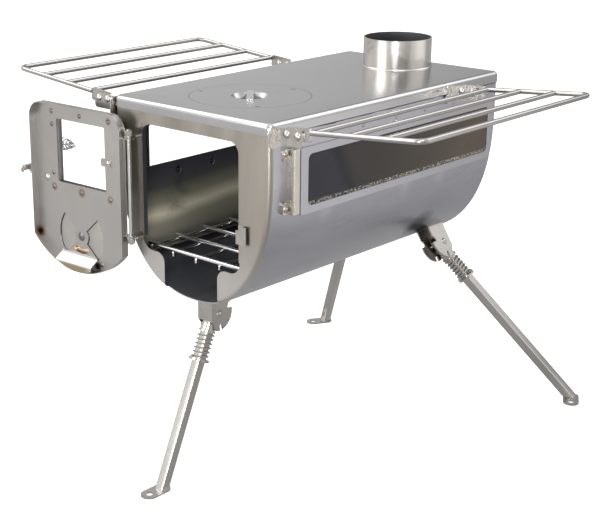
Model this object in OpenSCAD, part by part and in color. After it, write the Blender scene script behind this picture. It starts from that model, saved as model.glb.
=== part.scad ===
// Tent wood stove: a U-shaped steel firebox on three folding legs, with side windows, a hinged
// front door, a lift-out cooking lid, a flue collar and two fold-down wire racks.
// Origin: centre of the top plate's upper face. +X right, +Y towards the flue, +Z up. Millimetres.

/* [Firebox] */
// Length of the top plate, front to back
top_len = 443; // [400:1:600]
// Width of the top plate
top_wid = 248; // [240:1:300]
// Depth of the turned-down lip of the top plate
lip_h = 13.5; // [10:0.5:18]
// Outside bend radius of the top plate
bend_r = 6; // [3:0.5:7]
// Corner radius of the top plate seen from above
corner_r = 9; // [8:0.5:16]
// Thickness of the firebox sheet
sheet = 1.5; // [1:0.1:2]
// Height from the top plate's upper face to the lowest point of the shell
body_h = 228; // [220:1:300]
// Height of the straight part of the side walls, from the top
wall_h = 52; // [40:1:60]
// Squareness of the curved shell: 2 is a half ellipse, higher is boxier
shell_n = 2.33; // [2.1:0.01:2.6]
// Gap between the shell and the top plate's lip
lip_gap = 0.3; // [0.1:0.1:1]
// Outside bend radius round the edge of the front and back plates
end_r = 6; // [3:0.5:7]

/* [Front opening] */
// Half width of the loading opening
mouth_hw = 78; // [60:1:79]
// Distance from the top to the opening's upper edge
mouth_top = 26; // [20:1:32]
// Height of the opening's lower edge above the shell's lowest point
mouth_bot = 49; // [46:1:68]
// Corner radius of the loading opening
mouth_r = 15; // [6:1:20]
// Half width of the ash slot
ash_hw = 43; // [30:1:50]
// Radius of the rounded shoulders above the ash slot
ash_r = 12; // [4:1:16]
// Depth of the flange turned inward round the loading opening
flange_d = 6; // [3:0.5:8]

/* [Cooking lid and flue] */
// Radius of the cooking lid
lid_r = 71.6; // [55:0.1:80]
// Distance from the top plate's front edge to the lid's centre
lid_off = 103.5; // [96.5:0.5:111.5]
// Gap round the lid
lid_gap = 0.5; // [0.3:0.1:1]
// Radius of the pressed finger bowl in the lid
bowl_r = 22.5; // [16:0.5:30]
// Depth of the finger bowl
bowl_d = 10; // [6:0.5:14]
// Width of the strap across the finger bowl
strap_w = 8; // [5:0.5:12]
// Outside diameter of the flue collar
flue_d = 89; // [70:1:100]
// Height of the flue collar
flue_h = 37.5; // [25:0.5:60]
// Distance from the top plate's back edge to the flue's centre
flue_off = 54.5; // [54.5:0.5:71.5]
// Thickness of the flue collar
flue_t = 1.5; // [1:0.1:3]

/* [Side windows] */
// Distance from the firebox's front to the clear window
win_y0 = 62; // [60:1:120]
// How much further forward the left window reaches
win_left = 8; // [0:1:9]
// Distance from the firebox's back to the clear window
win_y1 = 22; // [20:1:100]
// Distance from the top to the clear window's upper edge
win_top = 43; // [38:1:50]
// Distance from the top to the clear window's lower edge
win_bot = 102; // [80:1:104]
// Corner radius of the clear window
win_r = 7; // [3:0.5:12]
// Width of the window frame round the glass
win_border = 8.5; // [6:0.5:9]
// Extra width of the frame at its front end
win_front_extra = 4; // [0:0.5:8]
// Thickness of the window glass
glass_t = 4; // [3:0.5:5]

/* [Liner and grate] */
// Distance from the top to the liner's upper edge
liner_top = 94; // [70:1:100]
// Height of the shelf that carries the grate above the shell's lowest point
grate_shelf = 44; // [40:1:48]
// Diameter of the grate's cross wires and side rails
grate_wire = 5; // [4:0.5:6]
// Diameter of the grate's long wires
grate_thin = 4; // [3:0.5:5]
// Number of cross wires
grate_n = 10; // [6:1:14]

/* [Door] */
// Half width of the door
door_hw = 79.5; // [79.5:0.5:81]
// Offset of the door's middle from the stove's middle
door_cx = -1.5; // [-3:0.5:0]
// Distance from the top to the door's upper edge
door_top = 19.5; // [17:0.5:24]
// Height of the door's lowest point above the shell's lowest point
door_bot = 2; // [2:1:13]
// Height of the ends of the door's bottom arc above the shell's lowest point
door_kink = 38; // [33:1:58]
// Radius of the door's upper corners
door_r = 20; // [8:1:28]
// Depth of the pressed door
door_d = 10; // [6:0.5:11]
// Thickness of the door sheet
door_t = 1.2; // [0.8:0.1:2]
// Gap between the closed door's rim and the front plate
door_gap = 1.6; // [1.5:0.1:3]
// How far the door stands open at rest
door_open = 178; // [90:1:179]
// Half width of the door window
dwin_hw = 42; // [25:1:44]
// Distance from the top to the door window's upper edge
dwin_top = 39; // [38:1:50]
// Distance from the damper's hub up to the door window's lower edge
dwin_bot = 64; // [64:1:112]
// Depth of the frame that holds the door glass
dframe_d = 7.5; // [7:0.5:11]

/* [Air control and latch] */
// Radius of the air damper's openings
vent_r = 39; // [25:1:40]
// Height of the damper's hub above the shell's lowest point
vent_z = 46; // [44:1:48]
// Angle that each damper opening spans
vent_a = 84; // [40:1:86]
// Angle through which the damper turns
vent_turn = 60; // [30:1:60]
// Distance from the stove's middle to the latch pivot
latch_x = 58; // [56:0.5:60]
// Distance from the top to the latch pivot
latch_z = 116; // [110:0.5:120]
// Angle through which the latch turns
latch_turn = 35; // [30:1:40]

/* [Racks] */
// Diameter of the rack wire
rack_wire = 6; // [4:0.5:7]
// Distance from the middle to the rack's outer bar
rack_out = 312; // [260:1:340]
// Distance from the firebox's front to the racks' front arm
rack_y0 = 8.6; // [8:0.1:70]
// Distance from the firebox's back to the racks' back arm
rack_y1 = 106.8; // [105:0.1:160]
// Number of long bars
rack_bars = 4; // [3:1:6]
// Spacing of the long bars
rack_pitch = 45.7; // [25:0.1:46]
// Upward tilt of the open racks
rack_tilt = 4.9; // [0:0.1:8]
// Distance from the top plate's edge to the rack pivot
rack_px = 17; // [14:0.5:26]
// Depth of the rack pivot below the top
rack_pz = 9; // [8:0.5:11]

/* [Legs] */
// Height of the top plate above the floor
stand_h = 450.7; // [400:0.1:520]
// Distance from the firebox's front to the front leg's pivot
front_py = 36.4; // [25:0.1:70]
// Depth of the front leg's pivot below the shell
front_drop = 22.4; // [21:0.1:26]
// Outward angle of the front leg
front_splay = 23.9; // [10:0.1:30]
// Distance from the shell's side to the rear leg pivots
rear_px = 47; // [32:0.1:62]
// Distance from the firebox's back to the rear leg pivots
rear_py = 50; // [30:0.1:80]
// Depth of the rear leg pivots below the shell
rear_pz = 3.3; // [1:0.1:6]
// Sideways lean of the rear legs
rear_lean = 33.2; // [20:0.1:38]
// Backward angle of the rear legs
rear_splay = 25.8; // [10:0.1:30]
// Width of the square leg tube
tube_w = 12.7; // [10:0.1:13]
// Gap between a leg tube's corners and its spring
spring_room = 0.4; // [0.2:0.1:1]
// Wire diameter of the leg springs
spring_wire = 2.2; // [1.6:0.1:2.6]
// Coils of each leg spring
spring_turns = 6; // [4:1:8]
// Length of each leg spring
spring_len = 33; // [30:1:40]

/* [Hidden] */

$fn = 48;
eps = 0.01;

// Colours seen on the stove
steel = "#b4b4b6";
dark_steel = "#7c7c7c";
bright = "#dcdcdc";
burnt = "#3c3e44";
pane = "#5a5550";

// Firebox, worked out from the sizes above
body_hw = top_wid / 2 - sheet - lip_gap;
front_y = -(top_len / 2 - sheet);
back_y = top_len / 2 - sheet;
plate_in = front_y + sheet;
shell_k = 22;
wide = top_wid;
long = top_len;

// Places that keep their distance from an end, an edge or the bottom of the stove
mouth_low = body_h - mouth_bot;
shelf_low = body_h - grate_shelf;
door_low = body_h - door_bot;
kink_low = body_h - door_kink;
vent_low = body_h - vent_z;
dwin_low = vent_low - dwin_bot;
lid_y = lid_off - top_len / 2;
flue_y = top_len / 2 - flue_off;
win_back = back_y - win_y1;
rack_front = front_y + rack_y0;
rack_back = back_y - rack_y1;
rack_x = top_wid / 2 + rack_px;
front_leg_y = front_y + front_py;
rear_leg_x = body_hw - rear_px;
rear_leg_y = back_y - rear_py;
rear_leg_z = body_h + rear_pz;

// Front ends of the clear window, its glass and its frame on side s
function win_front(s) = front_y + win_y0 - (s < 0 ? win_left : 0);
function pane_front(s) = win_front(s) - pane_over;
function frame_front(s) = win_front(s) - win_border - win_front_extra;

flue_bead = 1.5;

// Window planes on the side walls
pane_x = body_hw - glass_t;
frame_x = body_hw + sheet;
pane_over = 5.5;
pane_y1 = win_back + pane_over;
pane_top = win_top - pane_over;
pane_bot = win_bot + pane_over;
pane_gap = 0.4;
frame_y1 = win_back + win_border;
frame_top = win_top - win_border;
frame_bot = win_bot + win_border;
screw_ys = [for (d = [280, 217, 159, 100, 31]) back_y - d];
screw_drop = 26;
screw_r = 3.2;

// Liner: a curved plate that stands off the shell
liner_off = glass_t + 0.3;
liner_t = 1.2;
liner_shelf_in = 10;
liner_end = 7;
liner_holes = [for (y = [front_y + 34:60:back_y - 44]) y];
liner_hole_drop = 106;
liner_hole_r = 4.2;
stud_r = 5;
stud_drop = 135;
stud_ys = [front_y + 70, 0, back_y - 70];

// Half width of the superellipse shell, drawn in by d, at a depth below the top
function shell_x(depth, d = 0) =
    let (h = body_h - wall_h - d, t = max(0, depth - wall_h) / h)
    (body_hw - d) * pow(max(0, 1 - pow(t, shell_n)), 1 / shell_n);

rail_x = shell_x(shelf_low, liner_off + liner_t) - liner_shelf_in / 2;
rail_z = -shelf_low + liner_t + grate_wire / 2;
cross_z = rail_z + grate_wire - 1;
thin_z = cross_z - grate_wire / 2 - grate_thin / 2 + 0.5;
grate_y0 = front_y + 13;
grate_y1 = back_y - 11;
grate_pitch = (grate_y1 - grate_y0) / (grate_n - 1);
thin_xs = [-41, -3, 35];

// Door planes when it is closed: the rim faces the stove
rim_y = front_y - door_gap;
door_out = rim_y - door_d;
door_in = door_out + door_t;
arc_h = door_kink - door_bot;
arc_r = (door_hw * door_hw + arc_h * arc_h) / (2 * arc_h);
dwin_cx = door_cx - 3;
dframe_b = 7;
dframe_t = 1;
dglass_t = 4;
dglass_over = 4;
vent_x = door_cx + 1;
vent_in = 12;
slot_r = 19;
slot_w = 6;
damper_t = 1.2;
damper_y = door_out - 0.3;

// Hinge at the door's left side
rod_r = 2.5;
hinge_side = 6.5;
hinge_x = door_cx - door_hw - hinge_side;
hinge_y = front_y - 11;
ear_t = 2;
ear_top = door_top + 22.5;
ear_bot = kink_low - 23;
ear_r = 6;
nut_h = 6;
nut_w = 8;
run_gap = 0.05;

// Latch
lever_t = 2;
lever_y = door_out - 1 - lever_t;
strike_x0 = mouth_hw - 5;
strike_x1 = mouth_hw + 12.5;
strike_top = latch_z + 4;
strike_bot = latch_z + 26;
strike_lift = 3;
strike_t = 1.2;
hook_x = strike_x1 + 0.8;
hook_t = 2;
hook_top = latch_z + 10;
hook_bot = latch_z + 20;
grip_up = 40;
grip_a = 98;
grip_out = 17.5;
grip_len = 21;
grip_r0 = 8.2;
grip_r1 = 2.9;
grip_wire = 2;
grip_turns = 4;
handle_r = 2.2;
grip_rod = 1.6;

// Racks
plate_t = 2;
plate_x0 = rack_x - 7;
plate_x1 = rack_x + 22;
plate_hi = rack_pz - 7;
plate_lo = rack_pz + 12;
stop_x = rack_x + 15;
tab_t = 3;
tab_r = 7;
tab_hi = 7.5;
tab_end = 30.5;
arm_z = 3;
rack_r = 11;
pin_r = 2.5;
dome_r = 4.6;
bracket_t = 2;
bracket_w = 19;
bracket_hi = 3;
bracket_lo = 26;

// Legs
floor_z = -stand_h;
foot_t = 2;
foot_w = 21;
foot_l = 41;
peg_r = 4.25;
tube_t = 1.2;
tube_r = 2.5;
tube_corner = (tube_w / 2 - tube_r) * sqrt(2) + tube_r;
spring_d = 2 * (tube_corner + spring_room + spring_wire);
tube_up = 8;
leg_pin_r = 3;
side_t = 2;
side_gap = 18.7;
side_x = side_gap / 2;
web_y = 11.2;
web_t = 2;
web_low = 7.5;
bracket_up = 60;
cam_r = 21.5;
cam_back = 17.5;
collar_s0 = 14;
collar_s1 = 24.5;
collar_bore = tube_w + 0.6;
ring_t = 3;
ring_r = spring_d / 2 + 1.8;
front_pz = body_h + front_drop;
front_len = (stand_h - front_pz) / cos(front_splay);
rear_len = (stand_h - rear_leg_z) / (cos(rear_splay) * cos(rear_lean));

// Points of the U outline, drawn in by d, from the right top to the left top
function u_half(d) = [for (i = [0:shell_k]) let (t = 90 * i / shell_k)
    [(body_hw - d) * pow(cos(t), 2 / shell_n),
     -wall_h - (body_h - d - wall_h) * pow(sin(t), 2 / shell_n)]];
function u_points(d, top) = concat(
    [[body_hw - d, top]], u_half(d),
    [for (i = [shell_k - 1:-1:0]) [-u_half(d)[i][0], u_half(d)[i][1]]],
    [[-(body_hw - d), top]]);

// Its top lies below the bend of the top plate's lip
module u_shape(d = 0, top = -bend_r) { polygon(u_points(d, top)); }

// A flat shape drawn in X and Z, made solid from y0 to y1
module solid_y(y0, y1) { translate([0, y1, 0]) rotate([90, 0, 0]) linear_extrude(y1 - y0) children(); }

// A flat shape drawn in Y and Z, made solid from x0 to x1
module solid_x(x0, x1) { translate([x0, 0, 0]) rotate([90, 0, 90]) linear_extrude(x1 - x0) children(); }

// A rectangle from corner a to corner b with rounded corners
module round_rect(a, b, r) {
    translate([a[0] + r, a[1]]) square([b[0] - a[0] - 2 * r, b[1] - a[1]]);
    translate([a[0], a[1] + r]) square([b[0] - a[0], b[1] - a[1] - 2 * r]);
    for (x = [a[0] + r, b[0] - r], y = [a[1] + r, b[1] - r]) translate([x, y]) circle(r);
}

// The solid that fills the shell's outside
module shell_fill() { solid_y(-long, long) u_shape(0, 0); }

// A domed rivet head on the plane y = 0, its dome towards -Y
module dome(r, h) {
    rotate([90, 0, 0]) rotate_extrude() intersection() {
        translate([0, h - (r * r + h * h) / (2 * h)]) circle((r * r + h * h) / (2 * h));
        square([r, h]);
    }
}

// An unbroken wire tube: a ring of 6 points at each of the given centres
function tube_ring(c, dir, r, s = 6) =
    let (z = dir / norm(dir),
         x0 = cross([0, 0, 1], z),
         x = norm(x0) < 0.01 ? [1, 0, 0] : x0 / norm(x0),
         y = cross(z, x))
    [for (i = [0:s - 1]) c + r * (cos(360 * i / s) * x + sin(360 * i / s) * y)];
module wire_tube(pts, dirs, r, s = 6) {
    n = len(pts);
    ring_points = [for (i = [0:n - 1]) each tube_ring(pts[i], dirs[i], r, s)];
    polyhedron(
        points = ring_points,
        faces = concat(
            [for (i = [0:n - 2], j = [0:s - 1], k = [0, 1]) let (a = i * s + j, b = i * s + (j + 1) % s)
                k == 0 ? [a, b + s, b] : [a, a + s, b + s]],
            [for (j = [1:s - 2]) [0, j, j + 1]],
            [for (j = [1:s - 2]) let (m = (n - 1) * s) [m, m + j + 1, m + j]]));
}

// A coil about Z with centreline radius r0 at its start and r1 at its end, climbing h in all
coil_rings = 8;
function coil_pt(r0, r1, h, turns, i) =
    let (m = turns * coil_rings, r = r0 + (r1 - r0) * i / m, a = 360 * i / coil_rings)
    [r * cos(a), r * sin(a), h * i / m];
function coil_dir(r0, r1, h, turns, i) =
    coil_pt(r0, r1, h, turns, i + 0.5) - coil_pt(r0, r1, h, turns, i - 0.5);
module coil(r0, r1, h, turns, wire) {
    m = turns * coil_rings;
    wire_tube([for (i = [0:m]) coil_pt(r0, r1, h, turns, i)],
              [for (i = [0:m]) coil_dir(r0, r1, h, turns, i)], wire / 2);
}

// Least gap of a coil to itself, measured on its own points
function coil_gap(r0, r1, h, turns, wire) = min(
    [for (i = [0:turns * coil_rings], j = [i + 5:1:turns * coil_rings])
        norm(coil_pt(r0, r1, h, turns, i) - coil_pt(r0, r1, h, turns, j)) - wire]);
echo(leg_spring_self_gap = coil_gap(spring_d / 2 - spring_wire / 2, spring_d / 2 - spring_wire / 2,
    spring_len - spring_wire, spring_turns, spring_wire));
echo(coil_grip_self_gap = coil_gap(grip_r0, grip_r1, grip_len, grip_turns, grip_wire));

// Firebox
// Room for the lip of the top plate, whose corners are rounded
module lip_room() {
    translate([0, 0, -lip_h - lip_gap]) linear_extrude(2 * lip_h) difference() {
        square([2 * wide, 2 * long], center = true);
        round_rect([-top_wid / 2 + sheet, -top_len / 2 + sheet],
                   [top_wid / 2 - sheet, top_len / 2 - sheet], corner_r - sheet);
    }
}

module body_shell() {
    color(steel) difference() {
        solid_y(front_y + end_r, back_y - end_r) difference() {
            u_shape(0);
            u_shape(sheet, 1);
        }
        for (s = [-1, 1]) scale_side(s) solid_x(pane_x - 8, body_hw + 1)
            round_rect([pane_front(s) - pane_gap, -pane_bot - pane_gap],
                       [pane_y1 + pane_gap, -pane_top + pane_gap], 1.5);
        lip_room();
    }
}

module mouth_shape(d = 0) {
    round_rect([-mouth_hw + d, -mouth_low + d], [mouth_hw - d, -mouth_top - d], mouth_r - d);
}

// The ash slot, with rounded shoulders where it meets the loading opening
module ash_shape() {
    translate([-ash_hw, -body_h - 1]) square([2 * ash_hw, mouth_bot + 1 + mouth_r]);
    for (s = [-1, 1]) difference() {
        translate([s > 0 ? ash_hw : -ash_hw - ash_r, -mouth_low - ash_r])
            square([ash_r, ash_r + mouth_r]);
        translate([s * (ash_hw + ash_r), -mouth_low - ash_r]) circle(ash_r);
        translate([s > 0 ? ash_hw + ash_r : -ash_hw - 2 * ash_r, -mouth_low - ash_r])
            square([ash_r, ash_r]);
    }
}

// Bent edge of an end plate, in its own frame: the plate's face is y = 0 and the shell starts at
// y = end_r. Its section is a quarter ring of sheet, carried round the U outline.
bend_k = 4;
function bend_section() = concat(
    [for (k = [0:bend_k]) let (t = 90 * k / bend_k) [end_r * (1 - cos(t)), end_r * (1 - sin(t))]],
    [for (k = [bend_k:-1:0]) let (t = 90 * k / bend_k, r = end_r - sheet)
        [end_r - r * cos(t), end_r - r * sin(t)]]);
module end_bend() {
    sec = bend_section();
    m = len(sec);
    paths = [for (q = sec) u_points(q[0], -bend_r)];
    n = len(paths[0]);
    polyhedron(
        points = [for (i = [0:n - 1], j = [0:m - 1]) [paths[j][i][0], sec[j][1], paths[j][i][1]]],
        faces = concat(
            [for (i = [0:n - 2], j = [0:m - 1], k = [0, 1])
                let (a = i * m + j, b = i * m + (j + 1) % m) k == 0 ? [a, b + m, b] : [a, a + m, b + m]],
            [for (j = [1:m - 2]) [0, j, j + 1]],
            [for (j = [1:m - 2]) let (z = (n - 1) * m) [z, z + j + 1, z + j]]));
}

// Strip inside the sheet's thickness that laps over the joint of a plate's face and its bend
bend_lap = 0.5;
module bend_joint() {
    solid_y(sheet / 5, sheet * 4 / 5) difference() {
        u_shape(end_r - bend_lap, -bend_r - 0.1);
        u_shape(end_r + bend_lap, 0);
    }
}

module front_plate() {
    color(steel) {
        difference() {
            union() {
                solid_y(front_y, plate_in) difference() {
                    u_shape(end_r);
                    mouth_shape();
                    ash_shape();
                }
                difference() {
                    translate([0, front_y, 0]) {
                        end_bend();
                        bend_joint();
                    }
                    solid_y(front_y - 1, front_y + end_r) ash_shape();
                }
            }
            lip_room();
        }
        // Flange turned inward along the top and sides of the loading opening
        solid_y(front_y, front_y + flange_d) difference() {
            mouth_shape();
            mouth_shape(sheet);
            translate([-wide, -mouth_low - 1]) square([2 * wide, mouth_r + 1]);
        }
    }
}

module back_plate() {
    color(steel) difference() {
        union() {
            solid_y(back_y - sheet, back_y) u_shape(end_r);
            translate([0, back_y, 0]) mirror([0, 1, 0]) {
                end_bend();
                bend_joint();
            }
        }
        lip_room();
    }
}

// Section of the top plate's bent edge: r runs outward from the corner's centre
module lip_section() {
    translate([0, -sheet]) square([corner_r - bend_r, sheet]);
    translate([corner_r - sheet, -lip_h]) square([sheet, lip_h - bend_r]);
    translate([corner_r - bend_r, -bend_r]) intersection() {
        difference() {
            circle(bend_r);
            circle(bend_r - sheet);
        }
        square(bend_r);
    }
}

module top_plate() {
    cx = top_wid / 2 - corner_r;
    cy = top_len / 2 - corner_r;
    color(steel) difference() {
        union() {
            translate([-cx, -cy, -sheet]) cube([2 * cx, 2 * cy, sheet]);
            for (s = [0, 1]) rotate(180 * s) {
                translate([cx, cy, 0]) rotate([90, 0, 0]) linear_extrude(2 * cy) lip_section();
                translate([-cx, cy, 0]) rotate([90, 0, 90]) linear_extrude(2 * cx) lip_section();
                translate([cx, cy, 0]) rotate_extrude(angle = 90) lip_section();
                translate([-cx, cy, 0]) rotate(90) rotate_extrude(angle = 90) lip_section();
            }
        }
        translate([0, lid_y, -lip_h]) cylinder(r = lid_r + lid_gap, h = 2 * lip_h);
        translate([0, flue_y, -lip_h]) cylinder(r = flue_d / 2 + flue_bead, h = 2 * lip_h);
    }
}

module ring(r1, r0, h) {
    difference() {
        cylinder(r = r1, h = h);
        translate([0, 0, -1]) cylinder(r = r0, h = h + 2);
    }
}

// Ring under the top plate that the cooking lid rests on
module lid_seat_ring() {
    color(dark_steel) translate([0, lid_y, -sheet - 2]) ring(lid_r + 8, lid_r - 7, 2);
}

// The collar stands in the plate's hole, joined to it by a weld bead
module flue_collar() {
    r = flue_d / 2;
    color(bright) translate([0, flue_y, 0]) {
        translate([0, 0, -sheet]) {
            ring(r, r - flue_t, flue_h + sheet);
            ring(r + flue_bead, r - 0.3, sheet);
        }
        rotate_extrude() translate([r, 0]) intersection() {
            circle(flue_bead - 0.1);
            translate([-0.3, -0.1]) square(2);
        }
    }
}

module cook_lid() {
    inner = bowl_r - 6;
    color(steel) translate([0, lid_y, 0]) rotate_extrude() {
        translate([bowl_r, -sheet]) square([lid_r - bowl_r, sheet]);
        polygon([[bowl_r + eps, 0], [inner, -bowl_d], [0, -bowl_d], [0, -bowl_d - sheet],
                 [inner + 0.6, -bowl_d - sheet], [bowl_r + eps, -sheet - 0.8]]);
    }
}

strap_len = 2 * bowl_r + 7;
strap_turn = -47.8;
module lid_strap() {
    color(bright) translate([0, lid_y, 0]) rotate(strap_turn) {
        translate([-strap_len / 2, -strap_w / 2, 0]) cube([strap_len, strap_w, 1.6]);
    }
}

// Side windows
module side_frame(s) {
    color(steel) scale_side(s) difference() {
        solid_x(body_hw - 14, frame_x) difference() {
            round_rect([frame_front(s), -frame_bot], [frame_y1, -frame_top], 3);
            round_rect([win_front(s), -win_bot], [win_back, -win_top], win_r);
        }
        solid_x(body_hw - 20, body_hw)
            round_rect([pane_front(s) - pane_gap, -pane_bot - pane_gap],
                       [pane_y1 + pane_gap, -pane_top + pane_gap], 1.5);
        shell_fill();
    }
}

module scale_side(s) { mirror([s > 0 ? 0 : 1, 0, 0]) children(); }

module side_glass(s) {
    color(pane) scale_side(s) solid_x(pane_x, body_hw)
        round_rect([pane_front(s), -pane_bot], [pane_y1, -pane_top], 1.5);
}

module side_screws() {
    color(dark_steel) for (s = [-1, 1], y = screw_ys) scale_side(s)
        translate([body_hw, y, -screw_drop]) rotate(90) dome(screw_r, 1.5);
}

// Liner beside the fire: its lower edge is turned in as a shelf for the grate
module liner(s) {
    d0 = liner_off;
    d1 = liner_off + liner_t;
    shelf_x = shell_x(shelf_low, d0);
    color(burnt) scale_side(s) difference() {
        union() {
            solid_y(front_y + liner_end, back_y - liner_end - 3) {
                intersection() {
                    difference() {
                        u_shape(d0, 0);
                        u_shape(d1, 1);
                    }
                    translate([0, -shelf_low]) square([wide, shelf_low - liner_top]);
                }
                translate([shelf_x - liner_shelf_in - 2, -shelf_low])
                    square([liner_shelf_in + 1, liner_t]);
            }
            // Studs that hold the liner off the shell
            for (y = stud_ys) difference() {
                translate([shell_x(stud_drop, d0 + 1), y, -stud_drop]) rotate([0, 90, 0])
                    cylinder(r = stud_r, h = 20);
                solid_y(-long, long) difference() {
                    translate([0, -body_h - 10]) square([wide, body_h + 20]);
                    u_shape(sheet, 1);
                }
            }
        }
        for (y = liner_holes) translate([0, y, -liner_hole_drop]) rotate([0, 90, 0])
            cylinder(r = liner_hole_r, h = wide);
    }
}

module rod_y(y0, y1, r) { translate([0, y0, 0]) rotate([-90, 0, 0]) cylinder(r = r, h = y1 - y0); }
module rod_x(x0, x1, r) { translate([x0, 0, 0]) rotate([0, 90, 0]) cylinder(r = r, h = x1 - x0); }

module grate() {
    over = 4;
    color(bright) {
        for (s = [-1, 1]) translate([s * rail_x, 0, rail_z])
            rod_y(grate_y0 - over, grate_y1 + over, grate_wire / 2);
        for (i = [0:grate_n - 1]) translate([0, grate_y0 + i * grate_pitch, cross_z])
            rod_x(-rail_x - over, rail_x + over, grate_wire / 2);
        for (x = thin_xs) {
            translate([x, 0, thin_z]) rod_y(grate_y0, grate_y1, grate_thin / 2);
            translate([x, grate_y0, thin_z]) sphere(grate_thin / 2);
            translate([x, grate_y0, thin_z - 4]) cylinder(r = grate_thin / 2, h = 4);
        }
    }
}

// Strike on the front plate: its outer edge is lifted for the latch hook
module strike_tab() {
    a = front_y;
    b = front_y - strike_t;
    lift = strike_lift;
    color(bright) difference() {
        translate([0, 0, -strike_bot]) linear_extrude(strike_bot - strike_top) polygon([
            [strike_x0, a], [strike_x1 - 7.5, a], [strike_x1 - 4.5, a - lift], [strike_x1, a - lift],
            [strike_x1, b - lift], [strike_x1 - 5, b - lift], [strike_x1 - 8, b], [strike_x0, b]]);
        translate([strike_x0 - 1, front_y - 5, -strike_top - 6]) cube([5, 6, 7]);
    }
}

// Vertical channel on the right wall, with riveted ears
channel_y0 = front_y + 28;
channel_y1 = front_y + 38;
channel_top = 31;
channel_bot = 104;
channel_d = 10.5;
channel_ear = 8;
channel_ear_h = 13;
channel_rivet_y = channel_y0 - 4.1;
channel_rivet_zs = [36, 98];
module wall_channel() {
    x1 = body_hw + channel_d;
    color(bright) difference() {
        union() {
            solid_x(body_hw - 14, x1 - 3) translate([channel_y0, -channel_bot])
                square([channel_y1 - channel_y0, channel_bot - channel_top]);
            translate([x1 - 3, (channel_y0 + channel_y1) / 2, -channel_bot])
                intersection() {
                    cylinder(r = (channel_y1 - channel_y0) / 2, h = channel_bot - channel_top);
                    translate([-eps, -20, 0]) cube([3, 40, channel_bot]);
                }
            solid_x(body_hw - 14, body_hw + sheet) {
                for (z = [channel_top, channel_bot - channel_ear_h])
                    round_rect([channel_y0 - channel_ear, -z - channel_ear_h],
                               [channel_y0 + 3, -z], 2.5);
                translate([channel_y1 - 1, -78]) square([7, 11]);
            }
        }
        shell_fill();
    }
}
module channel_rivets() {
    color(bright) for (z = channel_rivet_zs)
        translate([body_hw + sheet, channel_rivet_y, -z]) rotate(90) dome(3.7, 2.4);
}

// Racks: each bracket has a plate in front of the arm's tab, a pivot rivet, and an outer rivet
// that the tab rests on
rack_ys = [rack_front, rack_back];
tab_gap = 0.3;
bracket_y = tab_t / 2 + tab_gap;
module rack_brackets() {
    x0 = top_wid / 2;
    color(bright) for (s = [-1, 1], y = rack_ys) scale_side(s) difference() {
        union() {
            solid_x(x0, x0 + bracket_t) round_rect([y - bracket_w + 6, -bracket_lo],
                [y + 6, -bracket_hi], 5);
            solid_y(y - bracket_y - plate_t, y - bracket_y) {
                round_rect([plate_x0, -plate_lo], [plate_x1, -plate_hi], 4);
                translate([x0, -plate_lo + 3]) square([plate_x0 - x0 + 6, plate_lo - plate_hi - 5]);
            }
        }
        for (x = [rack_x, stop_x]) translate([x, y, -rack_pz]) rotate([90, 0, 0])
            cylinder(r = pin_r, h = 20);
    }
}

module rack_rivets() {
    color(bright) for (s = [-1, 1], y = rack_ys, x = [rack_x, stop_x])
        scale_side(s) translate([x, y, -rack_pz]) {
            rod_y(-bracket_y - plate_t, bracket_y + 0.2, pin_r);
            translate([0, -bracket_y - plate_t, 0]) dome(dome_r, 2.8);
            translate([0, bracket_y + 0.2, 0]) rotate(180) dome(dome_r - 0.6, 1.6);
        }
}

// Turns a rack's own flat frame, in which its pivot is the origin, to its open place
module rack_place(s) {
    scale_side(s) translate([rack_x, 0, -rack_pz]) rotate([0, -rack_tilt, 0]) children();
}

module rack_wires(s) {
    out = rack_out - rack_x;
    r = rack_wire / 2;
    color(bright) rack_place(s) translate([0, 0, arm_z]) {
        for (y = rack_ys) translate([0, y, 0]) rod_x(tab_end, out - rack_r, r);
        translate([out, 0, 0]) rod_y(rack_front + rack_r, rack_back - rack_r, r);
        for (k = [0, 1]) translate([out - rack_r, k == 0 ? rack_front + rack_r : rack_back - rack_r, 0])
            rotate(k == 0 ? -90 : 0) rotate_extrude(angle = 90) translate([rack_r, 0]) circle(r);
        // As many long bars as the arms have room for
        for (i = [1:rack_bars - 1]) if (out - i * rack_pitch - r > tab_end)
            translate([out - i * rack_pitch, 0, 0]) rod_y(rack_front, rack_back, r);
    }
}

// Flat tabs of a rack: each turns on its pivot rivet and hooks over the stop rivet
module rack_tabs(s) {
    over_stop = pin_r - (stop_x - rack_x) * sin(rack_tilt) + 0.15;
    stop_end = stop_x - rack_x + pin_r + 0.6;
    color(bright) rack_place(s) for (y = rack_ys) difference() {
        solid_y(y - tab_t / 2, y + tab_t / 2) {
            circle(tab_r);
            translate([0, over_stop]) square([stop_end + 3, tab_hi - over_stop]);
            translate([0, over_stop]) square([3, 2]);
            round_rect([stop_end, -tab_r], [tab_end, tab_hi], 2.5);
        }
        translate([0, y + 10, 0]) rotate([90, 0, 0]) cylinder(r = pin_r + run_gap, h = 20);
    }
}

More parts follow.
